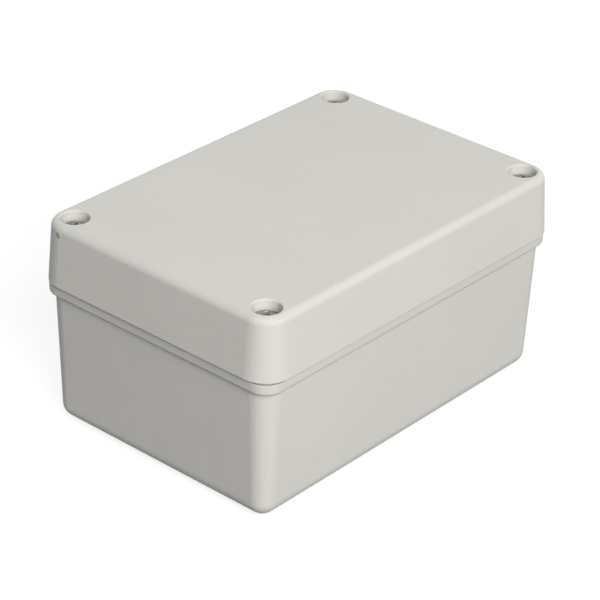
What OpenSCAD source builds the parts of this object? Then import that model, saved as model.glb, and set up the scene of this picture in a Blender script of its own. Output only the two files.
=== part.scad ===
// Waterproof junction box of moulded plastic: a deep lid on a gasketed rim,
// held by four captive corner screws, with sealed wall fixings in the floor.
// Millimetres. The back face lies on z = 0, the long side runs along x and
// the lid faces +z.

/* [Overall] */

// Length over the lid's lower edge
box_l = 130; // [110:1:180]
// Width over the lid's lower edge
box_w = 90; // [80:1:140]
// Height from the back face to the top of the lid
box_h = 66; // [64:1:80]
// Height of the lid's lower edge above the back face
seam_z = 46.4; // [40:0.1:48]

/* [Lid] */

// Corner radius at the lid's lower edge
lid_corner_r = 8.8; // [7.5:0.1:12]
// How far the lid's sides lean in towards the top
lid_draft = 1.15; // [0.5:0.05:2]
// Rounding of the lid's top edge
lid_edge_r = 2.4; // [1.5:0.1:4]
// Rounding of the lid's lower edge
lid_lip_r = 0.3; // [0.1:0.1:0.6]
// Thickness of the lid's sides
lid_wall = 2.4; // [2:0.1:3]
// Thickness of the lid's top
lid_top = 2.4; // [2:0.1:3]
// Rounding inside, where the lid's top meets its sides
lid_inner_r = 1.6; // [1:0.1:2.4]

/* [Base] */

// How far the wall stands back from the lid's face, under the band
base_inset = 2.2; // [1.8:0.1:3]
// Corner radius of the wall under the band
base_corner_r = 6.2; // [5.8:0.1:8]
// How far the wall leans in from the band down to the back
base_draft = 1.35; // [0.8:0.05:1.6]
// Rounding of the back edge
base_edge_r = 4.6; // [2.5:0.1:4.8]
// Thickness of the wall
base_wall = 2.4; // [2:0.1:2.8]
// Thickness of the floor
base_floor = 2.6; // [2.2:0.1:3]
// Rounding inside, where the floor meets the wall
floor_r = 2; // [0.6:0.1:2.4]
// Height of the proud band round the rim
band_h = 3.35; // [3:0.05:5]
// How far the band's top stands back from the lid's face
band_inset = 0.95; // [0.6:0.05:1.3]
// Corner radius of the band
band_corner_r = 5.9; // [5.2:0.1:7.5]
// How far the band leans in towards its lower edge
band_lean = 0.1; // [0:0.05:0.4]
// Rounding of the band's lower edge
band_r = 1; // [0.3:0.1:1.2]
// Rounding of the band's upper edge
band_top_r = 0.2; // [0.1:0.05:0.4]
// Shadow gap between the lid and the band
seam_gap = 0.8; // [0.3:0.05:1.2]
// Radius of the corner pillars
pillar_r = 4.4; // [4:0.1:5.5]

/* [Seal] */

// Thickness of the lip outside the gasket groove
groove_lip = 0.9; // [0.8:0.05:1.2]
// Width of the gasket groove
groove_w = 1.9; // [1.7:0.05:2.3]
// Depth of the gasket groove
groove_d = 2.2; // [1.6:0.1:2.6]
// Height of the gasket as it lies squeezed
gasket_h = 1; // [0.6:0.1:1.4]
// Rounding of the gasket's upper edges
gasket_r = 0.4; // [0.1:0.1:0.6]
// Space between the gasket and each side of its groove
gasket_fit = 0.05; // [0.02:0.01:0.1]
// Thickness of the lid's tongue
tongue_w = 1.2; // [0.9:0.1:1.4]
// Height between the tongue and the gasket
tongue_gap = 0.05; // [0.02:0.01:0.1]
// Bevel along the tongue's lower edges
tongue_bevel = 0.25; // [0.1:0.05:0.4]
// How far the tongue runs up the inside of the lid's wall
tongue_root = 4.5; // [3:0.1:8]

/* [Screws] */

// Distance of each screw from the lid's lower edge, on both sides
screw_inset = 8.2; // [7.8:0.1:10]
// Head diameter
head_d = 8; // [7:0.1:9]
// Head height
head_h = 2.8; // [2.2:0.1:3.4]
// Rounding of the head's upper edge
head_r = 1.4; // [0.5:0.1:2]
// How far the head lies below the top of the lid
head_sink = 2.6; // [2:0.1:4.5]
// Length of the cross recess over its arms
cross_l = 4.6; // [3.5:0.1:5]
// Width of the arms of the cross recess
cross_w = 1; // [0.8:0.05:1.2]
// Depth of the cross recess
cross_d = 1.7; // [1:0.1:2]
// Diameter of the waisted neck that keeps the screw in the lid
neck_d = 2.9; // [2.5:0.1:3.2]
// Thread diameter
thread_d = 4; // [3.5:0.1:5]
// Thread length
thread_l = 10; // [8:0.1:10.5]
// Length of the bevelled screw end
tip_h = 0.7; // [0.4:0.1:1]
// How deep the thread reaches below the rim
screw_engage = 9; // [6:0.1:10]
// Diameter of the sealing washer under the head
washer_d = 7.8; // [6.5:0.1:8.2]
// Thickness of the sealing washer
washer_t = 1; // [0.8:0.1:1.2]
// Thickness of the web that the screw seats on
seat_web = 2.2; // [1.6:0.1:2.8]
// Thickness of the screw column round the head
column_wall = 2.2; // [1.6:0.1:2.6]
// Thickness of the screw column below the web
column_foot = 2.9; // [2:0.1:3.6]
// Rounding of the recess's mouth
mouth_r = 0.7; // [0.3:0.05:1]
// Space round pieces that move past each other
run_gap = 0.3; // [0.2:0.05:0.5]
// Height between pieces that lie on each other
seat_gap = 0.02; // [0.01:0.01:0.05]

/* [Thread inserts] */

// Thickness of the insert outside the thread
insert_wall = 0.72; // [0.6:0.02:1]
// Length of the insert
insert_l = 8; // [5:0.1:9]
// Depth of the insert's middle groove
insert_groove = 0.35; // [0.2:0.05:0.4]
// Width of the insert's middle groove
insert_groove_w = 1.2; // [0.8:0.1:1.6]
// Space between the insert and its hole
insert_fit = 0.02; // [0.01:0.01:0.04]
// Space between the thread and the insert
thread_fit = 0.08; // [0.05:0.01:0.1]
// Free depth under the screw end
tip_room = 2.2; // [1:0.1:3]

/* [Wall fixings] */

// Distance of the fixing holes from the lid's ends
fix_inset_l = 19; // [18:0.5:30]
// Distance of the fixing holes from the lid's long sides
fix_inset_w = 18; // [15:0.5:28]
// Diameter of the fixing holes
fix_d = 4.4; // [3.5:0.1:5]
// Bore of the collar that holds the fixing screw's head
collar_bore = 9.2; // [8.5:0.1:9.6]
// Thickness of the collar
collar_wall = 1.6; // [1.4:0.1:1.8]
// Height of the collar above the floor
collar_h = 5; // [4:0.1:6]
// Depth of the sealing plug in the collar
plug_l = 2.4; // [2:0.1:3]
// Diameter of the plug's head
plug_head_d = 10.8; // [10.4:0.1:11.4]
// Height of the plug's head
plug_head_h = 1; // [0.8:0.1:1.4]
// Rounding of the plug's head
plug_r = 0.7; // [0.4:0.1:0.7]
// Thickness of the hollow plug
plug_wall = 1.2; // [1:0.1:1.5]
// Space between the plug and the collar
plug_fit = 0.05; // [0.02:0.01:0.1]

/* [Plate bosses] */

// Distance between the bosses along the length
boss_l = 60; // [50:1:70]
// Distance between the bosses along the width
boss_w = 30; // [20:1:34]
// Diameter of the bosses
boss_d = 6; // [5.5:0.1:7]
// Height of the bosses above the floor
boss_h = 5.5; // [4:0.1:6]
// Diameter of the pilot holes
pilot_d = 2.5; // [2:0.1:3]
// Depth of the pilot holes
pilot_l = 5; // [3:0.1:5]

/* [Hidden] */

$fn = 64;

housing_grey = [0.79, 0.78, 0.75];
lid_grey = [0.80, 0.79, 0.76];
seal_black = [0.10, 0.10, 0.10];
washer_black = [0.13, 0.13, 0.14];
steel = [0.66, 0.66, 0.66];
brass = [0.78, 0.62, 0.30];
plug_grey = [0.55, 0.56, 0.56];

// How far a cutter reaches past the face that it opens
over = 1;

// Corner axes of the base's wall, of the rim and of the lid
base_x = box_l / 2 - base_inset - base_corner_r;
base_y = box_w / 2 - base_inset - base_corner_r;
rim_x = box_l / 2 - band_inset - band_corner_r;
rim_y = box_w / 2 - band_inset - band_corner_r;
lid_x = box_l / 2 - lid_corner_r;
lid_y = box_w / 2 - lid_corner_r;

// Heights of the rim
rim_z = seam_z - seam_gap;
band_z = rim_z - band_h;
groove_z = rim_z - groove_d;
gasket_z = groove_z + gasket_h;
tongue_z = gasket_z + tongue_gap;

// Distances out from the base's corner axes
foot_out = base_corner_r - base_draft;
wall_in = base_corner_r - base_wall;
foot_in = foot_out - base_wall;

// Distances out from the rim's corner axes
band_low = band_corner_r - band_lean;
groove_out = band_corner_r - groove_lip;
groove_in = groove_out - groove_w;
tongue_in = (groove_in + groove_out - tongue_w) / 2;
tongue_out = tongue_in + tongue_w;
tongue_slope = 0.8;

// Distances out from the lid's corner axes
crown_out = lid_corner_r - lid_draft;
skirt_in = lid_corner_r - lid_wall;
crown_in = crown_out - lid_wall;
ceiling_z = box_h - lid_top;

// Screw positions and heights
screw_x = box_l / 2 - screw_inset;
screw_y = box_w / 2 - screw_inset;
head_z = box_h - head_sink - head_h;
washer_z = head_z - seat_gap - washer_t;
seat_z = washer_z - seat_gap;
web_z = seat_z - seat_web;
tip_z = rim_z - screw_engage;
thread_z = tip_z + thread_l;
recess_r = head_d / 2 + run_gap;
neck_hole_r = neck_d / 2 + run_gap;
column_r = recess_r + column_wall;
mouth_z = box_h - 0.85 * mouth_r;
insert_z = rim_z - insert_l;
thread_hole_r = thread_d / 2 + thread_fit;
insert_r = thread_hole_r + insert_wall;
insert_hole_r = insert_r + insert_fit;

// Floor fixings
fix_x = box_l / 2 - fix_inset_l;
fix_y = box_w / 2 - fix_inset_w;
plug_z = base_floor + collar_h;
collar_r = collar_bore / 2 + collar_wall;
plug_body_r = collar_bore / 2 - plug_fit;

// Quarter of a disc that fills the corner given by the signs
module quarter(r, sx, sy) {
    intersection() {
        circle(r);
        translate([sx < 0 ? -2 * r : 0, sy < 0 ? -2 * r : 0])
            square(2 * r);
    }
}

// Carries a profile round the rounded rectangle with corner axes at cx, cy
module swept(cx, cy) {
    for (s = [0, 1])
        mirror([s, 0, 0])
            translate([cx, 0, 0])
                rotate([90, 0, 0])
                    linear_extrude(height = 2 * cy, center = true)
                        children();
    for (s = [0, 1])
        mirror([0, s, 0])
            translate([0, cy, 0])
                rotate([90, 0, 90])
                    linear_extrude(height = 2 * cx, center = true)
                        children();
    for (sx = [0, 1], sy = [0, 1])
        mirror([sx, 0, 0])
            mirror([0, sy, 0])
                translate([cx, cy, 0])
                    rotate_extrude(angle = 90)
                        children();
}

// Fills the middle between the corner axes over a range of heights
module middle(cx, cy, z0, z1) {
    translate([-cx, -cy, z0])
        cube([2 * cx, 2 * cy, z1 - z0]);
}

// Repeats a piece at the four corners of a rectangle
module at_four(x, y) {
    for (sx = [-1, 1], sy = [-1, 1])
        translate([sx * x, sy * y, 0])
            children();
}

// Puts a piece at one of the four corners, counted from the front left
module at_corner(n, x, y) {
    sx = n == 1 || n == 4 ? -1 : 1;
    sy = n < 3 ? -1 : 1;
    translate([sx * x, sy * y, 0])
        children();
}

// Outside of the base: back edge and leaning wall
module wall_profile() {
    polygon([
        [0, 0],
        [foot_out - base_edge_r, 0],
        [foot_out - base_edge_r, base_edge_r],
        [foot_out, base_edge_r],
        [base_corner_r, band_z],
        [base_corner_r, rim_z],
        [0, rim_z]
    ]);
    translate([foot_out - base_edge_r, base_edge_r])
        quarter(base_edge_r, 1, -1);
}

// Proud band round the rim
module band_profile() {
    polygon([
        [0, band_z],
        [band_low - band_r, band_z],
        [band_low - band_r, band_z + band_r],
        [band_low, band_z + band_r],
        [band_corner_r, rim_z - band_top_r],
        [band_corner_r - band_top_r, rim_z - band_top_r],
        [band_corner_r - band_top_r, rim_z],
        [0, rim_z]
    ]);
    translate([band_low - band_r, band_z + band_r])
        quarter(band_r, 1, -1);
    translate([band_corner_r - band_top_r, rim_z - band_top_r])
        quarter(band_top_r, 1, 1);
}

// Inside of the base
module cavity_profile() {
    polygon([
        [0, base_floor],
        [foot_in - floor_r, base_floor],
        [foot_in - floor_r, base_floor + floor_r],
        [foot_in, base_floor + floor_r],
        [wall_in, rim_z],
        [wall_in, rim_z + over],
        [0, rim_z + over]
    ]);
    translate([foot_in - floor_r, base_floor + floor_r])
        quarter(floor_r, 1, -1);
}

// Outside of the lid: leaning skirt and rounded top edge
module lid_profile() {
    polygon([
        [0, seam_z],
        [lid_corner_r - lid_lip_r, seam_z],
        [lid_corner_r - lid_lip_r, seam_z + lid_lip_r],
        [lid_corner_r, seam_z + lid_lip_r],
        [crown_out, box_h - lid_edge_r],
        [crown_out - lid_edge_r, box_h - lid_edge_r],
        [crown_out - lid_edge_r, box_h],
        [0, box_h]
    ]);
    translate([lid_corner_r - lid_lip_r, seam_z + lid_lip_r])
        quarter(lid_lip_r, 1, -1);
    translate([crown_out - lid_edge_r, box_h - lid_edge_r])
        quarter(lid_edge_r, 1, 1);
}

// Inside of the lid
module hollow_profile() {
    polygon([
        [0, seam_z - over],
        [skirt_in, seam_z - over],
        [skirt_in, seam_z],
        [crown_in, ceiling_z - lid_inner_r],
        [crown_in - lid_inner_r, ceiling_z - lid_inner_r],
        [crown_in - lid_inner_r, ceiling_z],
        [0, ceiling_z]
    ]);
    translate([crown_in - lid_inner_r, ceiling_z - lid_inner_r])
        quarter(lid_inner_r, 1, 1);
}

// Tongue that presses the gasket, rooted on the inside of the lid's wall
module tongue_profile() {
    polygon([
        [tongue_in, tongue_z + tongue_bevel],
        [tongue_in + tongue_bevel, tongue_z],
        [tongue_out - tongue_bevel, tongue_z],
        [tongue_out, tongue_z + tongue_bevel],
        [tongue_out, seam_z + tongue_root],
        [tongue_in + tongue_slope, seam_z + tongue_root],
        [tongue_in, seam_z + tongue_root - 1.5 * tongue_slope]
    ]);
}

// Gasket lying in the groove
module gasket_profile() {
    translate([groove_in + gasket_fit, groove_z])
        square([groove_w - 2 * gasket_fit, gasket_h - gasket_r]);
    translate([groove_in + gasket_fit + gasket_r, gasket_z - gasket_r])
        square([groove_w - 2 * gasket_fit - 2 * gasket_r, gasket_r]);
    translate([groove_in + gasket_fit + gasket_r, gasket_z - gasket_r])
        quarter(gasket_r, -1, 1);
    translate([groove_out - gasket_fit - gasket_r, gasket_z - gasket_r])
        quarter(gasket_r, 1, 1);
}

// Recess for the screw head, with its rounded mouth and the hole in the web
module recess_cut() {
    rotate_extrude() {
        translate([0, seat_z])
            square([recess_r, box_h + over - seat_z]);
        difference() {
            translate([recess_r - mouth_r / 2, mouth_z])
                square([1.5 * mouth_r, box_h + over - mouth_z]);
            translate([recess_r + mouth_r, mouth_z])
                circle(mouth_r);
        }
    }
    translate([0, 0, seam_z - over])
        cylinder(r = neck_hole_r, h = box_h - seam_z);
    translate([0, 0, seam_z - over])
        cylinder(r = column_r - column_foot, h = web_z - seam_z + over);
}

// Hole in a pillar for the insert and the screw end
module insert_cut() {
    translate([0, 0, insert_z])
        cylinder(r = insert_hole_r, h = insert_l + over);
    translate([0, 0, tip_z - tip_room])
        cylinder(r = thread_hole_r, h = insert_z - tip_z + tip_room + over);
}

module base() {
    color(housing_grey)
        difference() {
            union() {
                swept(base_x, base_y)
                    wall_profile();
                swept(rim_x, rim_y)
                    band_profile();
                middle(base_x, base_y, 0, rim_z);
            }
            difference() {
                union() {
                    swept(base_x, base_y)
                        cavity_profile();
                    middle(base_x, base_y, base_floor, rim_z + over);
                }
                at_four(screw_x, screw_y)
                    cylinder(r = pillar_r, h = rim_z);
                at_four(fix_x, fix_y)
                    cylinder(r = collar_r, h = plug_z);
                at_four(boss_l / 2, boss_w / 2)
                    cylinder(d = boss_d, h = base_floor + boss_h);
            }
            swept(rim_x, rim_y)
                translate([groove_in, groove_z])
                    square([groove_w, groove_d + over]);
            at_four(screw_x, screw_y)
                insert_cut();
            at_four(fix_x, fix_y) {
                translate([0, 0, -over])
                    cylinder(d = fix_d, h = base_floor + 2 * over);
                translate([0, 0, base_floor])
                    cylinder(d = collar_bore, h = collar_h + over);
            }
            at_four(boss_l / 2, boss_w / 2)
                translate([0, 0, base_floor + boss_h - pilot_l])
                    cylinder(d = pilot_d, h = pilot_l + over);
        }
}

module lid() {
    color(lid_grey)
        difference() {
            union() {
                difference() {
                    union() {
                        swept(lid_x, lid_y)
                            lid_profile();
                        middle(lid_x, lid_y, seam_z, box_h);
                    }
                    difference() {
                        union() {
                            swept(lid_x, lid_y)
                                hollow_profile();
                            middle(lid_x, lid_y, seam_z - over, ceiling_z);
                        }
                        at_four(screw_x, screw_y)
                            translate([0, 0, seam_z])
                                cylinder(r = column_r, h = box_h - seam_z);
                    }
                }
                swept(rim_x, rim_y)
                    tongue_profile();
            }
            at_four(screw_x, screw_y)
                recess_cut();
        }
}

module gasket() {
    color(seal_black)
        swept(rim_x, rim_y)
            gasket_profile();
}

module screw(n) {
    color(steel)
        at_corner(n, screw_x, screw_y)
            difference() {
                rotate_extrude() {
                    translate([0, head_z])
                        square([head_d / 2 - head_r, head_h]);
                    translate([head_d / 2 - head_r, head_z])
                        square([head_r, head_h - head_r]);
                    translate([head_d / 2 - head_r, head_z + head_h - head_r])
                        quarter(head_r, 1, 1);
                    polygon([
                        [0, tip_z],
                        [thread_d / 2 - tip_h, tip_z],
                        [thread_d / 2, tip_z + tip_h],
                        [thread_d / 2, thread_z],
                        [neck_d / 2, thread_z],
                        [neck_d / 2, head_z],
                        [0, head_z]
                    ]);
                }
                for (turn = [0, 90])
                    rotate(45 + turn)
                        translate([-cross_l / 2, -cross_w / 2, head_z + head_h - cross_d])
                            cube([cross_l, cross_w, cross_d + over]);
            }
}

module washer(n) {
    color(washer_black)
        at_corner(n, screw_x, screw_y)
            translate([0, 0, washer_z])
                difference() {
                    cylinder(d = washer_d, h = washer_t);
                    translate([0, 0, -over])
                        cylinder(r = neck_hole_r, h = washer_t + 2 * over);
                }
}

module insert(n) {
    color(brass)
        at_corner(n, screw_x, screw_y)
            rotate_extrude()
                polygon([
                    [thread_hole_r, insert_z],
                    [insert_r, insert_z],
                    [insert_r, insert_z + (insert_l - insert_groove_w) / 2],
                    [insert_r - insert_groove, insert_z + (insert_l - insert_groove_w) / 2],
                    [insert_r - insert_groove, insert_z + (insert_l + insert_groove_w) / 2],
                    [insert_r, insert_z + (insert_l + insert_groove_w) / 2],
                    [insert_r, rim_z],
                    [thread_hole_r, rim_z]
                ]);
}

module plug(n) {
    color(plug_grey)
        at_corner(n, fix_x, fix_y)
            rotate_extrude() {
                translate([0, plug_z])
                    square([plug_head_d / 2 - plug_r, plug_head_h]);
                translate([plug_head_d / 2 - plug_r, plug_z])
                    square([plug_r, plug_head_h - plug_r]);
                translate([plug_head_d / 2 - plug_r, plug_z + plug_head_h - plug_r])
                    quarter(plug_r, 1, 1);
                translate([plug_body_r - plug_wall, plug_z - plug_l])
                    square([plug_wall, plug_l]);
            }
}

module screw_1() { screw(1); }
module screw_2() { screw(2); }
module screw_3() { screw(3); }
module screw_4() { screw(4); }
module washer_1() { washer(1); }
module washer_2() { washer(2); }
module washer_3() { washer(3); }
module washer_4() { washer(4); }
module insert_1() { insert(1); }
module insert_2() { insert(2); }
module insert_3() { insert(3); }
module insert_4() { insert(4); }
module plug_1() { plug(1); }
module plug_2() { plug(2); }
module plug_3() { plug(3); }
module plug_4() { plug(4); }

base();
lid();
gasket();
screw_1();
screw_2();
screw_3();
screw_4();
washer_1();
washer_2();
washer_3();
washer_4();
insert_1();
insert_2();
insert_3();
insert_4();
plug_1();
plug_2();
plug_3();
plug_4();
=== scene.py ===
import math

import bmesh
import bpy
from bpy.props import FloatProperty, FloatVectorProperty, IntProperty, PointerProperty
from mathutils import Matrix, Vector


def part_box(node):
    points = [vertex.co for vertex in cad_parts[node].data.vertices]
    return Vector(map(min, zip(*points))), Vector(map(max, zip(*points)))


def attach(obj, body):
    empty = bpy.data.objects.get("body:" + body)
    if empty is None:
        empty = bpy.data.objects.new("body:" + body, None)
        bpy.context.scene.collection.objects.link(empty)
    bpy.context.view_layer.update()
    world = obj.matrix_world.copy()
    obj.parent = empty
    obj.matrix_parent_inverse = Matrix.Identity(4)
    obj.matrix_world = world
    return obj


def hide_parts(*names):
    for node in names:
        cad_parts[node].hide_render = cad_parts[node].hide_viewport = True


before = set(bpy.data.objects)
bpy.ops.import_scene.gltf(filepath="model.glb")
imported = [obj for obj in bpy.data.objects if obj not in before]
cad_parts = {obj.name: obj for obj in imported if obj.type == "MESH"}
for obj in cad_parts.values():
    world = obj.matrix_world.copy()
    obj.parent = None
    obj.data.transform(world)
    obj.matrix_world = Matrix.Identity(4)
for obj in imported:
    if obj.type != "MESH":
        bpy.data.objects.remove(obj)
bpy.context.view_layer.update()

bl_info = {
    "name": "Waterproof Junction Box",
    "version": (1, 0, 0),
    "blender": (4, 5, 0),
    "location": "3D View > Sidebar > Junction Box",
    "description": "Dresses the solids of a moulded junction box with its finishes and fittings",
    "category": "Object",
}

MM = 0.001
CORNERS = (1, 2, 3, 4)
# Points nearer than this are welded in a finished mesh.
WELD = 0.002 * MM
# Edges sharper than this stay sharp in the shading.
CREASE = math.radians(32)
# Steps round a turned piece.
ROUND = 72
# Where a thread's flank starts and ends, as shares of the pitch.
FLANK = (0.08, 0.42)
# A wave texture of scale 1 repeats over this length.
WAVE_LENGTH = 0.31416
# Heights over the floor at which the camera and the lamps aim, in metres.
CAMERA_AIM = 0.04
LAMP_AIM = 0.03
# Corners of a square of half width 1, in order round it.
SQUARE = ((-1, -1), (1, -1), (1, 1), (-1, 1))

# Marks of use: centre in millimetres, turn in degrees, half sizes in millimetres, colour and strength.
WEAR = {
    "nick": ((-63.88, 36.62, 62.95), (56.5, 0, 0), (1.4, 1.25, 0.95), "4a4743", 0.58),
    "scratch": ((-40.74, -42.33, 29.15), (0, -53.8, 0), (4.8, 1.0, 0.30), "e4e1da", 0.35),
    "speck": ((-40.5, -41.0, 2.2), (0, 0, 0), (0.75, 0.75, 0.6), "3c3936", 0.85),
}


def linear(code):
    """Linear colour of an sRGB hex value."""
    parts = [int(code[i:i + 2], 16) / 255 for i in (0, 2, 4)]
    return tuple(c / 12.92 if c <= 0.04045 else ((c + 0.055) / 1.055) ** 2.4 for c in parts)


def shaded(colour, share=1.0):
    """Colour as a socket takes it, made darker or lighter by a share."""
    return (*[min(1, c * share) for c in colour], 1)


def add(tree, kind, inputs=None, **settings):
    """Adds a node, with settings by name and inputs by socket, as a value or a link."""
    made = tree.nodes.new(kind)
    for name, value in settings.items():
        setattr(made, name, value)
    for key, value in (inputs or {}).items():
        if isinstance(value, bpy.types.NodeSocket):
            tree.links.new(value, made.inputs[key])
        else:
            made.inputs[key].default_value = value
    return made


def arc(x, z, r, start, end, steps):
    """Points on an arc in the plane of a turned outline, angles in degrees."""
    turns = [math.radians(start + (end - start) * k / steps) for k in range(steps + 1)]
    return [(x + r * math.cos(t), z + r * math.sin(t)) for t in turns]


def turned(outline, steps, ring=False):
    """Mesh turned from radius and height points in millimetres, from axis to axis or round a ring."""
    shape = bmesh.new()
    rows = []
    for radius, height in outline:
        turns = [2 * math.pi * k / steps for k in range(steps)]
        if radius == 0:
            rows.append([shape.verts.new((0, 0, height * MM))] * steps)
        else:
            r, z = radius * MM, height * MM
            rows.append([shape.verts.new((r * math.cos(t), r * math.sin(t), z)) for t in turns])
    for low, high in list(zip(rows, rows[1:])) + ([(rows[-1], rows[0])] if ring else []):
        for k in range(steps):
            corners = list(dict.fromkeys((low[k - 1], low[k], high[k], high[k - 1])))
            if len(corners) > 2:
                shape.faces.new(corners)
    bmesh.ops.recalc_face_normals(shape, faces=shape.faces)
    return shape


def tapered_bar(length, width, depth, top, turn):
    """Bar that narrows downwards, standing a little over the top, for one arm of a cross recess."""
    shape = bmesh.new()
    rings = []
    over = 0.2
    # Each ring has its height, and its length and width as shares of the arm's own.
    for level, long, wide in ((top - depth, 0.55, 0.72), (top + over, 1.05, 1.03)):
        x, y = length / 2 * long * MM, width / 2 * wide * MM
        rings.append([shape.verts.new((a * x, b * y, level * MM)) for a, b in SQUARE])
    shape.faces.new(rings[0])
    shape.faces.new(rings[1])
    for k in range(4):
        shape.faces.new((rings[0][k - 1], rings[0][k], rings[1][k], rings[1][k - 1]))
    bmesh.ops.recalc_face_normals(shape, faces=shape.faces)
    bmesh.ops.rotate(shape, matrix=Matrix.Rotation(turn, 3, "Z"), verts=shape.verts)
    return shape


def solid(name, shape):
    """Object from a mesh in the making, linked to the scene."""
    mesh = bpy.data.meshes.new(name)
    shape.to_mesh(mesh)
    shape.free()
    obj = bpy.data.objects.new(name, mesh)
    bpy.context.scene.collection.objects.link(obj)
    return obj


def settled(obj):
    """Keeps an object's evaluated shape as its plain mesh, shaded smooth between its sharp edges."""
    graph = bpy.context.evaluated_depsgraph_get()
    mesh = bpy.data.meshes.new_from_object(obj.evaluated_get(graph), depsgraph=graph)
    # Cutting and bevelling leave flat slivers, which are welded away.
    shape = bmesh.new()
    shape.from_mesh(mesh)
    bmesh.ops.remove_doubles(shape, verts=shape.verts, dist=WELD)
    bmesh.ops.triangulate(shape, faces=[f for f in shape.faces if len(f.verts) > 4])
    bmesh.ops.dissolve_degenerate(shape, dist=WELD, edges=shape.edges)
    shape.to_mesh(mesh)
    shape.free()
    obj.modifiers.clear()
    obj.data = mesh
    mesh.name = obj.name
    mesh.shade_smooth()
    mesh.set_sharp_from_angle(angle=CREASE)
    if not mesh.polygons:
        raise RuntimeError(f"{obj.name} came out empty")
    return obj


def grown(obj, tree, values):
    """Runs a node tree on an object, with its inputs set by name, and keeps the result."""
    step = obj.modifiers.new(tree.name, "NODES")
    step.node_group = tree
    for item in tree.interface.items_tree:
        if item.in_out == "INPUT" and item.name in values:
            step[item.identifier] = values[item.name]
    return settled(obj)


def node_tree(name, sockets):
    """Geometry node tree with named inputs, one geometry in and one out."""
    tree = bpy.data.node_groups.new(name, "GeometryNodeTree")
    tree.is_modifier = True
    tree.interface.new_socket("Geometry", in_out="OUTPUT", socket_type="NodeSocketGeometry")
    tree.interface.new_socket("Geometry", in_out="INPUT", socket_type="NodeSocketGeometry")
    for label, kind in sockets:
        tree.interface.new_socket(label, in_out="INPUT", socket_type="NodeSocket" + kind)
    return tree


def ended(tree, given, last):
    """Ends a node tree: makes its instances real and gives them their material."""
    real = add(tree, "GeometryNodeRealizeInstances", {"Geometry": last.outputs[0]})
    dressed = add(tree, "GeometryNodeSetMaterial", {
        "Geometry": real.outputs[0], "Material": given["Finish"],
    })
    add(tree, "NodeGroupOutput", {"Geometry": dressed.outputs[0]})
    return tree


def shader_of(name):
    """New material with its node tree, its shader and the place on the piece that patterns read."""
    mat = bpy.data.materials.new(name)
    mat.use_nodes = True
    tree = mat.node_tree
    place = add(tree, "ShaderNodeTexCoord").outputs["Object"]
    return mat, tree, tree.nodes["Principled BSDF"], place


def toned(tree, pattern, span, first, second, share=1.0):
    """Colour that goes from one to another, by a share, as a pattern rises through a span."""
    tone = add(tree, "ShaderNodeMapRange", {
        "Value": pattern.outputs["Fac"], "From Min": span[0], "From Max": span[1], "To Max": share,
    })
    return add(tree, "ShaderNodeMix", {
        "Factor": tone.outputs["Result"], "A": first, "B": second,
    }, data_type="RGBA")


def dress(tree, shader, skin, gloss, relief):
    """Links a colour, a roughness and a relief to a material's shader."""
    tree.links.new(skin.outputs["Result"], shader.inputs["Base Color"])
    tree.links.new(gloss.outputs["Result"], shader.inputs["Roughness"])
    tree.links.new(relief.outputs["Normal"], shader.inputs["Normal"])


def seen_white(tree):
    """Share that is 1 for what the camera sees, also in metal or through glass, and 0 for the light."""
    path = add(tree, "ShaderNodeLightPath").outputs
    seen = add(tree, "ShaderNodeMath", {
        0: path["Is Camera Ray"], 1: path["Is Glossy Ray"],
    }, operation="MAXIMUM")
    return add(tree, "ShaderNodeMath", {
        0: seen.outputs[0], 1: path["Is Transmission Ray"],
    }, operation="MAXIMUM").outputs[0]


def direction(azimuth, elevation):
    """Unit vector from the box towards a camera or lamp."""
    flat = math.cos(elevation)
    return Vector((math.sin(azimuth) * flat, -math.cos(azimuth) * flat, math.sin(elevation)))


def seat(obj, body, slot, *nodes):
    """Lets a finished piece ride on a body in place of its solids."""
    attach(obj, body)
    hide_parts(*nodes)


def middle_of(name):
    """Centre of a solid in plan, with its lowest and highest level."""
    low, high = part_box(name)
    return (low.x + high.x) / 2, (low.y + high.y) / 2, low.z, high.z


def radius_of(name):
    """Radius of a round solid, in millimetres."""
    return (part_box(name)[1].x - middle_of(name)[0]) / MM


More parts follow.
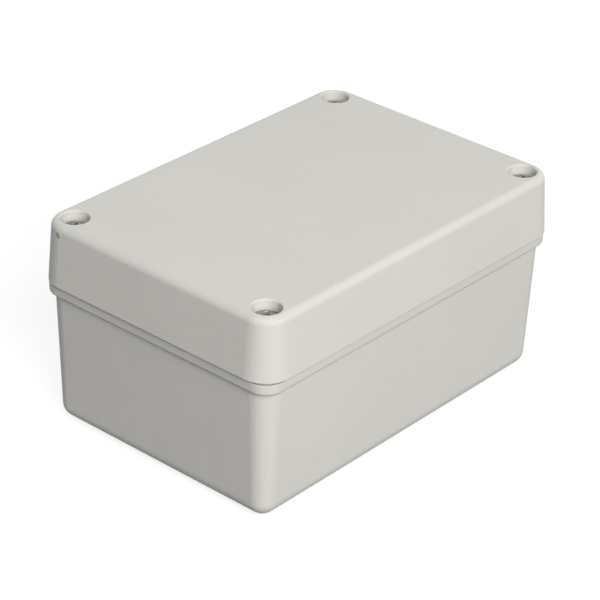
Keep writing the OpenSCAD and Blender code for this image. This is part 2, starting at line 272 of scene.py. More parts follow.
def rolled_thread():
    """Node tree that rolls a thread under the head it is given and sets both at a corner."""
    tree = node_tree("rolled_thread", (
        ("Root", "Float"), ("Crest", "Float"), ("Pitch", "Float"), ("Low", "Float"), ("High", "Float"),
        ("Place", "Vector"), ("Turn", "Float"), ("Finish", "Material"),
    ))
    given = add(tree, "NodeGroupInput").outputs
    # A sheet of 56 steps round and 199 along is rolled up.
    sheet = add(tree, "GeometryNodeMeshGrid", {
        "Size X": 1.0, "Size Y": 1.0, "Vertices X": 57, "Vertices Y": 200,
    })
    spot = add(tree, "ShaderNodeSeparateXYZ", {
        0: add(tree, "GeometryNodeInputPosition").outputs[0],
    }).outputs
    turn = add(tree, "ShaderNodeMath", {0: spot["X"], 1: 0.5}, operation="ADD").outputs[0]
    share = add(tree, "ShaderNodeMath", {0: spot["Y"], 1: 0.5}, operation="ADD").outputs[0]
    height = add(tree, "ShaderNodeMapRange", {
        "Value": share, "To Min": given["Low"], "To Max": given["High"],
    }).outputs[0]
    # The flank climbs one pitch in each turn, with a flat at the crest and at the root.
    lead = add(tree, "ShaderNodeMath", {0: height, 1: given["Pitch"]}, operation="DIVIDE").outputs[0]
    lead = add(tree, "ShaderNodeMath", {0: lead, 1: turn}, operation="SUBTRACT").outputs[0]
    wave = add(tree, "ShaderNodeMath", {0: lead, 1: 0.5}, operation="PINGPONG").outputs[0]
    flank = add(tree, "ShaderNodeMapRange", {
        "Value": wave, "From Min": FLANK[0], "From Max": FLANK[1],
    }).outputs[0]
    # The thread runs out under the neck, in the last tenth of its length.
    fade = add(tree, "ShaderNodeMapRange", {
        "Value": share, "From Min": 0.9, "From Max": 0.99, "To Min": 1.0, "To Max": 0.0,
    }).outputs[0]
    rise = add(tree, "ShaderNodeMath", {0: flank, 1: fade}, operation="MULTIPLY").outputs[0]
    radius = add(tree, "ShaderNodeMapRange", {
        "Value": rise, "To Min": given["Root"], "To Max": given["Crest"],
    }).outputs[0]
    # The end is bevelled to two thirds of its width, and both ends close on the axis.
    blunt = add(tree, "ShaderNodeMath", {0: given["Crest"], 1: 0.65}, operation="MULTIPLY").outputs[0]
    bevel = add(tree, "ShaderNodeMapRange", {
        "Value": share, "From Max": 0.07, "To Min": blunt, "To Max": given["Crest"],
    }).outputs[0]
    radius = add(tree, "ShaderNodeMath", {0: radius, 1: bevel}, operation="MINIMUM").outputs[0]
    above = add(tree, "ShaderNodeMath", {0: share, 1: 0.001}, operation="GREATER_THAN").outputs[0]
    below = add(tree, "ShaderNodeMath", {0: share, 1: 0.999}, operation="LESS_THAN").outputs[0]
    radius = add(tree, "ShaderNodeMath", {0: radius, 1: above}, operation="MULTIPLY").outputs[0]
    radius = add(tree, "ShaderNodeMath", {0: radius, 1: below}, operation="MULTIPLY").outputs[0]
    angle = add(tree, "ShaderNodeMath", {0: turn, 1: 2 * math.pi}, operation="MULTIPLY").outputs[0]
    across = add(tree, "ShaderNodeMath", {0: angle}, operation="COSINE").outputs[0]
    along = add(tree, "ShaderNodeMath", {0: angle}, operation="SINE").outputs[0]
    x = add(tree, "ShaderNodeMath", {0: radius, 1: across}, operation="MULTIPLY").outputs[0]
    y = add(tree, "ShaderNodeMath", {0: radius, 1: along}, operation="MULTIPLY").outputs[0]
    point = add(tree, "ShaderNodeCombineXYZ", {"X": x, "Y": y, "Z": height}).outputs[0]
    rolled = add(tree, "GeometryNodeSetPosition", {"Geometry": sheet.outputs[0], "Position": point})
    closed = add(tree, "GeometryNodeMergeByDistance", {
        "Geometry": rolled.outputs[0], "Distance": 0.001 * MM,
    })
    whole = add(tree, "GeometryNodeJoinGeometry", {"Geometry": closed.outputs[0]})
    tree.links.new(given["Geometry"], whole.inputs[0])
    stand = add(tree, "ShaderNodeCombineXYZ", {"Z": given["Turn"]})
    placed = add(tree, "GeometryNodeTransform", {
        "Geometry": whole.outputs[0], "Translation": given["Place"], "Rotation": stand.outputs[0],
    })
    return ended(tree, given, placed)


def gasket_path():
    """Node tree that carries the gasket's section round the rim."""
    tree = node_tree("gasket_path", (
        ("Length", "Float"), ("Width", "Float"), ("Corner", "Float"), ("Level", "Float"),
        ("Thickness", "Float"), ("Height", "Float"), ("Edge", "Float"), ("Finish", "Material"),
    ))
    given = add(tree, "NodeGroupInput").outputs
    line = add(tree, "GeometryNodeCurvePrimitiveQuadrilateral", {
        "Width": given["Length"], "Height": given["Width"],
    })
    path = add(tree, "GeometryNodeFilletCurve", {
        "Curve": line.outputs[0], "Radius": given["Corner"], "Count": 24, "Limit Radius": True,
    }, mode="POLY")
    upright = add(tree, "GeometryNodeSetCurveNormal", {"Curve": path.outputs[0]}, mode="Z_UP")
    block = add(tree, "GeometryNodeCurvePrimitiveQuadrilateral", {
        "Width": given["Thickness"], "Height": given["Height"],
    })
    section = add(tree, "GeometryNodeFilletCurve", {
        "Curve": block.outputs[0], "Radius": given["Edge"], "Count": 6, "Limit Radius": True,
    }, mode="POLY")
    swept = add(tree, "GeometryNodeCurveToMesh", {
        "Curve": upright.outputs[0], "Profile Curve": section.outputs[0],
    })
    lift = add(tree, "ShaderNodeCombineXYZ", {"Z": given["Level"]})
    placed = add(tree, "GeometryNodeTransform", {
        "Geometry": swept.outputs[0], "Translation": lift.outputs[0],
    })
    return ended(tree, given, placed)


def at_corners(tree, given, piece):
    """Repeats a piece at the corners of a rectangle and ends the tree."""
    spots = add(tree, "GeometryNodeMeshGrid", {
        "Size X": given["Length"], "Size Y": given["Width"], "Vertices X": 2, "Vertices Y": 2,
    })
    four = add(tree, "GeometryNodeInstanceOnPoints", {"Points": spots.outputs[0], "Instance": piece})
    return ended(tree, given, four)


def plug_set():
    """Node tree that sets a plug in each of the four collars."""
    tree = node_tree("plug_set", (("Length", "Float"), ("Width", "Float"), ("Finish", "Material")))
    given = add(tree, "NodeGroupInput").outputs
    return at_corners(tree, given, given["Geometry"])


def knurled_bore():
    """Node tree that cuts straight knurls outside a turned sleeve and a thread inside it."""
    tree = node_tree("knurled_bore", (
        ("Split", "Float"), ("Knurls", "Float"), ("Knurl depth", "Float"), ("Pitch", "Float"),
        ("Thread depth", "Float"), ("Length", "Float"), ("Width", "Float"), ("Finish", "Material"),
    ))
    given = add(tree, "NodeGroupInput").outputs
    place = add(tree, "GeometryNodeInputPosition").outputs[0]
    spot = add(tree, "ShaderNodeSeparateXYZ", {0: place}).outputs
    flat = add(tree, "ShaderNodeCombineXYZ", {"X": spot["X"], "Y": spot["Y"]}).outputs[0]
    radius = add(tree, "ShaderNodeVectorMath", {0: flat}, operation="LENGTH").outputs["Value"]
    out = add(tree, "ShaderNodeVectorMath", {0: flat}, operation="NORMALIZE").outputs[0]
    angle = add(tree, "ShaderNodeMath", {0: spot["Y"], 1: spot["X"]}, operation="ARCTAN2").outputs[0]
    turn = add(tree, "ShaderNodeMath", {0: angle, 1: 2 * math.pi}, operation="DIVIDE").outputs[0]
    outside = add(tree, "ShaderNodeMath", {
        0: radius, 1: given["Split"],
    }, operation="GREATER_THAN").outputs[0]
    count = add(tree, "ShaderNodeMath", {0: turn, 1: given["Knurls"]}, operation="MULTIPLY").outputs[0]
    notch = add(tree, "ShaderNodeMath", {0: count, 1: 0.5}, operation="PINGPONG").outputs[0]
    notch = add(tree, "ShaderNodeMapRange", {
        "Value": notch, "From Max": 0.5, "To Max": given["Knurl depth"],
    }).outputs[0]
    notch = add(tree, "ShaderNodeMath", {0: notch, 1: outside}, operation="MULTIPLY").outputs[0]
    inside = add(tree, "ShaderNodeMath", {0: 1.0, 1: outside}, operation="SUBTRACT").outputs[0]
    lead = add(tree, "ShaderNodeMath", {0: spot["Z"], 1: given["Pitch"]}, operation="DIVIDE").outputs[0]
    lead = add(tree, "ShaderNodeMath", {0: lead, 1: turn}, operation="SUBTRACT").outputs[0]
    groove = add(tree, "ShaderNodeMath", {0: lead, 1: 0.5}, operation="PINGPONG").outputs[0]
    groove = add(tree, "ShaderNodeMapRange", {
        "Value": groove, "From Min": FLANK[0], "From Max": FLANK[1], "To Max": given["Thread depth"],
    }).outputs[0]
    groove = add(tree, "ShaderNodeMath", {0: groove, 1: inside}, operation="MULTIPLY").outputs[0]
    step = add(tree, "ShaderNodeMath", {0: groove, 1: notch}, operation="SUBTRACT").outputs[0]
    shift = add(tree, "ShaderNodeVectorMath", {0: out, "Scale": step}, operation="SCALE").outputs[0]
    cut = add(tree, "GeometryNodeSetPosition", {"Geometry": given["Geometry"], "Offset": shift})
    return at_corners(tree, given, cut.outputs[0])


class HousingLook(bpy.types.PropertyGroup):
    """Finish of the two mouldings."""

    colour: FloatVectorProperty(
        name="Plastic", description="Colour of the moulded housing", subtype="COLOR",
        size=3, min=0, max=1, default=linear("d1cfc9"),
    )
    roughness: FloatProperty(
        name="Roughness", description="Mean roughness of the moulded skin", subtype="FACTOR",
        min=0, max=1, default=0.55,
    )
    grain: FloatProperty(
        name="Grain", description="Width of one grain of the spark-eroded mould", unit="LENGTH",
        default=0.45 * MM,
    )
    grain_depth: FloatProperty(
        name="Grain depth", description="Depth of the grain in the skin's relief", unit="LENGTH",
        default=0.2 * MM,
    )


class ScrewLook(bpy.types.PropertyGroup):
    """Captive corner screws."""

    colour: FloatVectorProperty(
        name="Plating", description="Colour of the zinc plating", subtype="COLOR",
        size=3, min=0, max=1, default=linear("aeaeab"),
    )
    pitch: FloatProperty(
        name="Pitch", description="Rise of the thread in one turn", unit="LENGTH", default=0.7 * MM,
    )
    root: FloatProperty(
        name="Root", description="Radius at the bottom of the thread", unit="LENGTH", default=1.58 * MM,
    )
    crest: FloatProperty(
        name="Crest", description="Radius over the thread", unit="LENGTH", default=2.0 * MM,
    )
    thread: FloatProperty(name="Thread", description="Length of the thread", unit="LENGTH", default=10 * MM)
    neck: FloatProperty(
        name="Neck", description="Radius of the waisted neck", unit="LENGTH", default=1.45 * MM,
    )
    head: FloatProperty(name="Head", description="Height of the pan head", unit="LENGTH", default=2.8 * MM)
    edge: FloatProperty(
        name="Head edge", description="Rounding of the head", unit="LENGTH", default=1.4 * MM,
    )
    cross: FloatProperty(
        name="Cross", description="Length of the cross recess", unit="LENGTH", default=4.6 * MM,
    )
    arm: FloatProperty(
        name="Cross width", description="Width of the cross's arms", unit="LENGTH", default=1.0 * MM,
    )
    depth: FloatProperty(
        name="Cross depth", description="Depth of the cross recess", unit="LENGTH", default=1.7 * MM,
    )
    turns: FloatVectorProperty(
        name="Turns", description="How each of the four screws stands turned when tight", unit="ROTATION",
        size=4, default=[math.radians(t) for t in (45, 14, 71, 28)],
    )


class SealLook(bpy.types.PropertyGroup):
    """Gasket, washers and plugs."""

    rubber: FloatVectorProperty(
        name="Rubber", description="Colour of the gasket and washers", subtype="COLOR",
        size=3, min=0, max=1, default=linear("2a2a2b"),
    )
    plug: FloatVectorProperty(
        name="Plugs", description="Colour of the soft sealing plugs", subtype="COLOR",
        size=3, min=0, max=1, default=linear("8e9091"),
    )
    gasket_width: FloatProperty(
        name="Gasket width", description="Width of the gasket in its groove", unit="LENGTH",
        default=1.8 * MM,
    )
    gasket_corner: FloatProperty(
        name="Gasket corner", description="Corner radius of the gasket's outer side", unit="LENGTH",
        default=4.95 * MM,
    )
    gasket_edge: FloatProperty(
        name="Gasket edge", description="Rounding of the gasket's section", unit="LENGTH",
        default=0.38 * MM,
    )
    washer_hole: FloatProperty(
        name="Washer hole", description="Radius of the hole in a washer", unit="LENGTH", default=1.75 * MM,
    )
    washer_edge: FloatProperty(
        name="Washer edge", description="Rounding of a washer's section", unit="LENGTH", default=0.22 * MM,
    )
    plug_body: FloatProperty(
        name="Plug body", description="Radius over the plug's sealing ribs", unit="LENGTH",
        default=4.55 * MM,
    )
    plug_head: FloatProperty(
        name="Plug head", description="Height of the plug's head", unit="LENGTH", default=1.0 * MM,
    )


class InsertLook(bpy.types.PropertyGroup):
    """Thread inserts in the corner pillars."""

    colour: FloatVectorProperty(
        name="Brass", description="Colour of the turned brass", subtype="COLOR",
        size=3, min=0, max=1, default=linear("d2ae68"),
    )
    bore: FloatProperty(
        name="Bore", description="Radius at the inner thread's crest", unit="LENGTH", default=2.08 * MM,
    )
    groove: FloatProperty(
        name="Groove", description="Depth of the middle groove", unit="LENGTH", default=0.35 * MM,
    )
    groove_width: FloatProperty(
        name="Groove width", description="Width of the middle groove", unit="LENGTH", default=1.2 * MM,
    )
    chamfer: FloatProperty(
        name="Chamfer", description="Chamfer of the ends", unit="LENGTH", default=0.18 * MM,
    )
    knurl_depth: FloatProperty(
        name="Knurl depth", description="Depth of the straight knurls", unit="LENGTH", default=0.16 * MM,
    )
    thread_depth: FloatProperty(
        name="Thread depth", description="Depth of the thread in the bore", unit="LENGTH",
        default=0.22 * MM,
    )
    knurls: IntProperty(
        name="Knurls", description="Number of knurls round an insert", default=28, min=8, max=60,
    )


class StageLook(bpy.types.PropertyGroup):
    """Camera, lamps and floor."""

    azimuth: FloatProperty(
        name="Azimuth", description="Camera's turn round the box", subtype="ANGLE",
        default=math.radians(-49.441),
    )
    elevation: FloatProperty(
        name="Elevation", description="Camera's height over the horizon", subtype="ANGLE",
        default=math.radians(29.61),
    )
    roll: FloatProperty(
        name="Roll", description="Camera's tilt about its own axis", subtype="ANGLE",
        default=math.radians(1.784),
    )
    distance: FloatProperty(
        name="Distance", description="From the camera to its target", unit="LENGTH", default=0.7544,
    )
    lens: FloatProperty(name="Lens", description="Focal length on a 36 mm sensor, in mm", default=152.79)
    target: FloatVectorProperty(
        name="Target", description="Offset of the aim along the view's right and up", unit="LENGTH",
        size=2, default=(-0.000398, -0.008415),
    )
    key_azimuth: FloatProperty(
        name="Key azimuth", description="Turn of the front lamp round the box", subtype="ANGLE",
        default=math.radians(-29.3),
    )
    key_elevation: FloatProperty(
        name="Key elevation", description="Height of the front lamp over the horizon", subtype="ANGLE",
        default=math.radians(34),
    )
    key_size: FloatProperty(
        name="Key size", description="Width of the front lamp", unit="LENGTH", default=1.0,
    )
    key_power: FloatProperty(
        name="Key power", description="Power of the front lamp", unit="POWER", default=29.2,
    )
    end_azimuth: FloatProperty(
        name="End azimuth", description="Turn of the lamp behind the short side", subtype="ANGLE",
        default=math.radians(95),
    )
    end_elevation: FloatProperty(
        name="End elevation", description="Height of the lamp behind the short side over the horizon",
        subtype="ANGLE", default=math.radians(16),
    )
    end_size: FloatProperty(
        name="End size", description="Width of the lamp behind the short side", unit="LENGTH", default=0.8,
    )
    end_power: FloatProperty(
        name="End power", description="Power of the lamp behind the short side", unit="POWER", default=10,
    )
    rear_azimuth: FloatProperty(
        name="Rear azimuth", description="Turn of the lamp behind the long side", subtype="ANGLE",
        default=math.radians(165),
    )
    rear_elevation: FloatProperty(
        name="Rear elevation", description="Height of the lamp behind the long side over the horizon",
        subtype="ANGLE", default=math.radians(16),
    )
    rear_size: FloatProperty(
        name="Rear size", description="Width of the lamp behind the long side", unit="LENGTH", default=0.8,
    )
    rear_power: FloatProperty(
        name="Rear power", description="Power of the lamp behind the long side", unit="POWER", default=11,
    )
    reach: FloatProperty(name="Reach", description="From each lamp to the box", unit="LENGTH", default=1.6)
    sky: FloatProperty(name="Room", description="Strength of the light from all round", default=0.2, min=0)
    bounce: FloatProperty(
        name="Floor", description="Share of the light that the floor sends back up", subtype="FACTOR",
        default=0.2, min=0, max=1,
    )
    paper: FloatProperty(
        name="Paper", description="Half width of the paper floor", unit="LENGTH", default=4.0,
    )
    shade: FloatProperty(
        name="Paper shade", description="Part of the paper's white that the box's shadow can darken",
        subtype="FACTOR", default=0.28, min=0, max=1,
    )
    glow: FloatProperty(
        name="Paper glow", description="Part of the paper's white that stays in the shadow",
        default=0.78, min=0,
    )
    margin: FloatProperty(
        name="Margin", description="From the rim's edge in to the paper's opening", unit="LENGTH",
        default=7.2 * MM,
    )


class JunctionBox(bpy.types.PropertyGroup):
    """Everything that a user would change."""

    housing: PointerProperty(type=HousingLook)
    screws: PointerProperty(type=ScrewLook)
    seals: PointerProperty(type=SealLook)
    inserts: PointerProperty(type=InsertLook)
    stage: PointerProperty(type=StageLook)


def worn(tree, place, skin):
    """Mixes the marks of use into a colour."""
    # Their edges are ragged, torn at about 0.7 mm.
    ragged = add(tree, "ShaderNodeTexNoise", {
        "Vector": place, "Scale": 1 / (0.7 * MM), "Detail": 2.0, "Roughness": 0.6,
    })
    for centre, turn, half, colour, strength in WEAR.values():
        near = add(tree, "ShaderNodeMapping", {
            "Vector": place, "Location": [c * MM for c in centre],
            "Rotation": [math.radians(t) for t in turn], "Scale": [h * MM for h in half],
        }, vector_type="TEXTURE")
        reach = add(tree, "ShaderNodeVectorMath", {0: near.outputs[0]}, operation="LENGTH").outputs["Value"]
        reach = add(tree, "ShaderNodeMath", {
            0: reach, 1: ragged.outputs["Fac"],
        }, operation="ADD").outputs[0]
        mark = add(tree, "ShaderNodeMapRange", {
            "Value": reach, "From Min": 0.95, "From Max": 1.5, "To Min": strength, "To Max": 0.0,
        }, interpolation_type="SMOOTHSTEP")
        skin = add(tree, "ShaderNodeMix", {
            "Factor": mark.outputs["Result"], "A": skin.outputs["Result"], "B": shaded(linear(colour)),
        }, data_type="RGBA")
    return skin


def abs_light_grey(look):
    """Material of the base and the lid."""
    # Light grey ABS from a spark-eroded mould: a matt, slightly clouded skin with a fine even grain.
    mat, tree, shader, place = shader_of("abs_light_grey_spark_eroded")
    # Flow of the melt shows as clouds about 30 mm across.
    cloud = add(tree, "ShaderNodeTexNoise", {
        "Vector": place, "Scale": 1 / (30 * MM), "Detail": 2.0, "Roughness": 0.5,
    })
    # The real grain is about 0.08 mm wide, too fine for the picture, so it is drawn coarser and deeper.
    grain = add(tree, "ShaderNodeTexNoise", {
        "Vector": place, "Scale": 1 / look.grain, "Detail": 3.0, "Roughness": 0.6,
    })
    skin = toned(tree, cloud, (0.3, 0.7), shaded(look.colour, 0.985), shaded(look.colour, 1.012))
    skin = worn(tree, place, skin)
    gloss = add(tree, "ShaderNodeMapRange", {
        "Value": grain.outputs["Fac"], "From Min": 0.2, "From Max": 0.8,
        "To Min": look.roughness - 0.06, "To Max": look.roughness + 0.06,
    })
    relief = add(tree, "ShaderNodeBump", {
        "Height": grain.outputs["Fac"], "Strength": 0.4, "Distance": look.grain_depth,
    })
    dress(tree, shader, skin, gloss, relief)
    shader.inputs["IOR"].default_value = 1.53
    # The skin shows hardly any gloss, so it mirrors less than smooth ABS would.
    shader.inputs["Specular IOR Level"].default_value = 0.08
    return mat


class JBOX_OT_housing(bpy.types.Operator):
    """Finish the moulded base and lid"""

    bl_idname = "jbox.housing"
    bl_label = "Finish Housing"

    def execute(self, context):
        mat = abs_light_grey(context.scene.junction_box.housing)
        for name in ("base", "lid"):
            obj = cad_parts[name]
            obj.data.materials.clear()
            obj.data.materials.append(mat)
        return {"FINISHED"}


def grimed_and_shaded(tree, place, skin, look):
    """Mixes grime and painted shade into the cross of the screws, which is below the crown and near a
    screw's axis.
    """
    # Folding the place into one corner serves all four screws.
    x, y, _, high = middle_of("screw_3")
    folded = add(tree, "ShaderNodeVectorMath", {0: place}, operation="ABSOLUTE").outputs[0]
    inner = add(tree, "ShaderNodeVectorMath", {
        0: folded, 1: (x, y, high),
    }, operation="SUBTRACT").outputs[0]
    level = add(tree, "ShaderNodeSeparateXYZ", {0: inner}).outputs["Z"]
    flat = add(tree, "ShaderNodeVectorMath", {0: inner, 1: (1, 1, 0)}, operation="MULTIPLY").outputs[0]
    reach = add(tree, "ShaderNodeVectorMath", {0: flat}, operation="LENGTH").outputs["Value"]
    close = add(tree, "ShaderNodeMapRange", {
        "Value": reach, "From Min": look.cross / 2 + 0.05 * MM, "From Max": look.cross / 2 + 0.3 * MM,
        "To Min": 0.85, "To Max": 0.0,
    }).outputs["Result"]
    sunk = add(tree, "ShaderNodeMapRange", {
        "Value": level, "From Min": -0.3 * MM, "From Max": -0.08 * MM, "To Min": 1.0, "To Max": 0.0,
    }).outputs["Result"]
    over = add(tree, "ShaderNodeMath", {
        0: level, 1: 0.1 * MM - look.head,
    }, operation="GREATER_THAN").outputs[0]
    grime_and_shade = add(tree, "ShaderNodeMath", {0: close, 1: sunk}, operation="MULTIPLY").outputs[0]
    grime_and_shade = add(tree, "ShaderNodeMath", {0: grime_and_shade, 1: over}, operation="MULTIPLY").outputs[0]
    # The dark colour is partly grime and partly painted shade in the recess.
    return add(tree, "ShaderNodeMix", {
        "Factor": grime_and_shade, "A": skin.outputs["Result"], "B": shaded(linear("3a3936")),
    }, data_type="RGBA")


def zinc_plated_steel(look):
    """Material of the screws."""
    # Zinc-plated steel: bright and cool, with cloudy spots where the plating is duller.
    mat, tree, shader, place = shader_of("steel_zinc_plated")
    # Plating crystals are a few hundredths of a millimetre, drawn here as clouds of 0.9 mm to show.
    cloud = add(tree, "ShaderNodeTexNoise", {
        "Vector": place, "Scale": 1 / (0.9 * MM), "Detail": 4.0, "Roughness": 0.65,
    })
    skin = toned(tree, cloud, (0.35, 0.65), shaded(look.colour, 0.5), shaded(look.colour))
    # The cross recess is darkened with grime and painted shade.
    skin = grimed_and_shaded(tree, place, skin, look)
    gloss = add(tree, "ShaderNodeMapRange", {
        "Value": cloud.outputs["Fac"], "From Min": 0.3, "From Max": 0.7, "To Min": 0.55, "To Max": 0.32,
    })
    relief = add(tree, "ShaderNodeBump", {
        "Height": cloud.outputs["Fac"], "Strength": 0.3, "Distance": 0.05 * MM,
    })
    dress(tree, shader, skin, gloss, relief)
    shader.inputs["Metallic"].default_value = 1.0
    return mat


def screw_outline(look):
    """Outline of a screw's neck and head in radius and height."""
    _, _, low, high = middle_of("screw_1")
    wide, neck, edge = radius_of("screw_1"), look.neck / MM, look.edge / MM
    top, foot, root = high / MM, (high - look.head) / MM, (low + look.thread) / MM
    # The neck reaches into the thread, and a small radius joins it to the head.
    lap, radius = 0.8, 0.2
    outline = [(0, root - lap), (neck, root - lap)]
    outline += arc(neck + radius, foot - radius, radius, 180, 90, 4)
    outline += arc(wide - radius, foot + radius, radius, -90, 0, 4)
    # The head's rounding ends in a top that is domed by a few hundredths of a millimetre.
    crown = top - 0.06
    outline += arc(wide - edge, crown - edge, edge, 0, 88, 12)
    return outline + [(1.8, top - 0.03), (0.9, top - 0.008), (0, top)]


def cross_cutters(look):
    """Two arms and a core that cut the cross recess into a screw's head."""
    top = middle_of("screw_1")[3] / MM
    cutters = []
    for turn in (0, 90):
        cutters.append(solid("cross_arm", tapered_bar(
            look.cross / MM, look.arm / MM, look.depth / MM, top, math.radians(turn),
        )))
    # The core is a cone with a drilled point, wider at the top.
    bottom, brim = top - look.depth / MM, top + 0.3
    core = [(0, bottom - 0.35), (0.45, bottom), (1.05, brim), (0, brim)]
    cutters.append(solid("cross_core", turned(core, 32)))
    return cutters


class JBOX_OT_screws(bpy.types.Operator):
    """Make the four captive screws"""

    bl_idname = "jbox.screws"
    bl_label = "Make Screws"

    def execute(self, context):
        look = context.scene.junction_box.screws
        mat = zinc_plated_steel(look)
        thread = rolled_thread()
        blank = solid("screw_blank", turned(screw_outline(look), ROUND))
        cutters = cross_cutters(look)
        for cutter in cutters:
            step = blank.modifiers.new("cross", "BOOLEAN")
            step.operation = "DIFFERENCE"
            step.solver = "EXACT"
            step.object = cutter
        soft = blank.modifiers.new("edges", "BEVEL")
        soft.width = 0.05 * MM
        soft.segments = 2
        soft.limit_method = "ANGLE"
        soft.angle_limit = math.radians(40)
        settled(blank)
        for cutter in cutters:
            bpy.data.objects.remove(cutter)
        for n, turn in zip(CORNERS, look.turns):
            name = f"screw_{n}"
            x, y, low, _ = middle_of(name)
            piece = bpy.data.objects.new(f"captive_screw_{n}", blank.data.copy())
            context.scene.collection.objects.link(piece)
            grown(piece, thread, {
                "Root": look.root, "Crest": look.crest, "Pitch": look.pitch,
                "Low": low, "High": low + look.thread, "Place": (x, y, 0.0), "Turn": turn, "Finish": mat,
            })
            seat(piece, name, "screw_steel", name)
        bpy.data.objects.remove(blank)
        return {"FINISHED"}


def black_epdm(look):
    """Material of the gasket and the washers."""
    # Moulded EPDM rubber: near black and dull, with a dusting of bloom that greys it in patches.
    mat, tree, shader, place = shader_of("epdm_black_moulded")
    bloom = add(tree, "ShaderNodeTexNoise", {
        "Vector": place, "Scale": 1 / (4 * MM), "Detail": 4.0, "Roughness": 0.6,
    })
    # The mould leaves pores finer than a tenth of a millimetre, drawn at 0.25 mm to show.
    pores = add(tree, "ShaderNodeTexNoise", {
        "Vector": place, "Scale": 1 / (0.25 * MM), "Detail": 2.0, "Roughness": 0.5,
    })
    skin = toned(tree, bloom, (0.45, 0.75), shaded(look.rubber), shaded(look.rubber, 2.2), share=0.5)
    gloss = add(tree, "ShaderNodeMapRange", {
        "Value": bloom.outputs["Fac"], "From Min": 0.3, "From Max": 0.7, "To Min": 0.58, "To Max": 0.74,
    })
    relief = add(tree, "ShaderNodeBump", {
        "Height": pores.outputs["Fac"], "Strength": 0.35, "Distance": 0.03 * MM,
    })
    dress(tree, shader, skin, gloss, relief)
    shader.inputs["IOR"].default_value = 1.47
    return mat


def washer_section(look, name):
    """Section of a washer in radius and height, a block with rounded edges."""
    _, _, low, high = middle_of(name)
    r = look.washer_edge / MM
    outer, inner = radius_of(name) - r, look.washer_hole / MM + r
    under, over = low / MM + r, high / MM - r
    section = arc(outer, under, r, -90, 0, 5) + arc(outer, over, r, 0, 90, 5)
    return section + arc(inner, over, r, 90, 180, 5) + arc(inner, under, r, 180, 270, 5)


class JBOX_OT_seals(bpy.types.Operator):
    """Lay the gasket and the washers"""

    bl_idname = "jbox.seals"
    bl_label = "Lay Seals"

    def execute(self, context):
        look = context.scene.junction_box.seals
        mat = black_epdm(look)
        low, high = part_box("gasket")
        wide = look.gasket_width
        gasket = solid("rim_gasket", bmesh.new())
        grown(gasket, gasket_path(), {
            "Length": high.x - low.x - wide, "Width": high.y - low.y - wide,
            "Corner": look.gasket_corner - wide / 2, "Level": (low.z + high.z) / 2,
            "Thickness": wide, "Height": high.z - low.z, "Edge": look.gasket_edge, "Finish": mat,
        })
        seat(gasket, "base", "gasket_rubber", "gasket")

        for n in CORNERS:
            name = f"washer_{n}"
            x, y, _, _ = middle_of(name)
            shape = turned(washer_section(look, name), ROUND, ring=True)
            bmesh.ops.translate(shape, vec=(x, y, 0), verts=shape.verts)
            piece = settled(solid(f"sealing_washer_{n}", shape))
            piece.data.materials.append(mat)
            seat(piece, name, "washer_rubber", name)
        return {"FINISHED"}


def turned_brass(look):
    """Material of the thread inserts."""
    # Free-cutting brass, turned: warm yellow, bright on the knurls, with fine rings from the tool.
    mat, tree, shader, place = shader_of("brass_turned")
    stain = add(tree, "ShaderNodeTexNoise", {
        "Vector": place, "Scale": 1 / (1.5 * MM), "Detail": 3.0, "Roughness": 0.6,
    })
    # Tool rings are about 0.05 mm apart, drawn at 0.15 mm to show.
    rings = add(tree, "ShaderNodeTexWave", {
        "Vector": place, "Scale": WAVE_LENGTH / (0.15 * MM), "Distortion": 0.4, "Detail": 1.0,
    }, wave_type="BANDS", bands_direction="Z")
    skin = toned(tree, stain, (0.35, 0.7), shaded(look.colour, 0.72), shaded(look.colour))
    gloss = add(tree, "ShaderNodeMapRange", {
        "Value": stain.outputs["Fac"], "From Min": 0.3, "From Max": 0.7, "To Min": 0.4, "To Max": 0.25,
    })
    relief = add(tree, "ShaderNodeBump", {
        "Height": rings.outputs["Fac"], "Strength": 0.2, "Distance": 0.02 * MM,
    })
    dress(tree, shader, skin, gloss, relief)
    shader.inputs["Metallic"].default_value = 1.0
    return mat


def insert_section(look, pitch):
    """Section of a thread insert in radius and height, with its middle groove."""
    _, _, low, high = middle_of("insert_1")
    outer, bore, groove = radius_of("insert_1"), look.bore / MM, look.groove / MM
    under, over, chamfer = low / MM, high / MM, look.chamfer / MM
    mid, half = (under + over) / 2, look.groove_width / 2 / MM
    # The sides of the groove lean a little.
    lean = 0.05
    section = [(outer - chamfer, under), (outer, under + chamfer)]
    section += [(outer, mid - half), (outer - groove, mid - half + lean)]
    section += [(outer - groove, mid + half - lean), (outer, mid + half)]
    section += [(outer, over - chamfer), (outer - chamfer, over)]
    section += [(bore + chamfer, over), (bore, over - chamfer)]
    # The bore has eight rows of points in each turn of its thread.
    length = over - under - 2 * chamfer
    rows = round(length / (pitch / MM) * 8)
    section += [(bore, over - chamfer - length * k / rows) for k in range(1, rows + 1)]
    return section + [(bore + chamfer, under)]


class JBOX_OT_inserts(bpy.types.Operator):
    """Set the thread inserts in the pillars"""

    bl_idname = "jbox.inserts"
    bl_label = "Set Inserts"

    def execute(self, context):
        look = context.scene.junction_box.inserts
        pitch = context.scene.junction_box.screws.pitch
        mat = turned_brass(look)
        section = insert_section(look, pitch)
        # The knurls are outside and the thread inside of half the wall at the groove.
        split = (look.bore / MM + radius_of("insert_1") - look.groove / MM) / 2 * MM
        sleeve = solid("thread_inserts", turned(section, 4 * look.knurls, ring=True))
        near, far = middle_of("insert_1"), middle_of("insert_3")
        grown(sleeve, knurled_bore(), {
            "Split": split, "Knurls": float(look.knurls),
            "Knurl depth": look.knurl_depth, "Pitch": pitch, "Thread depth": look.thread_depth,
            "Length": far[0] - near[0], "Width": far[1] - near[1], "Finish": mat,
        })
        seat(sleeve, "base", "insert_brass", *[f"insert_{n}" for n in CORNERS])
        return {"FINISHED"}


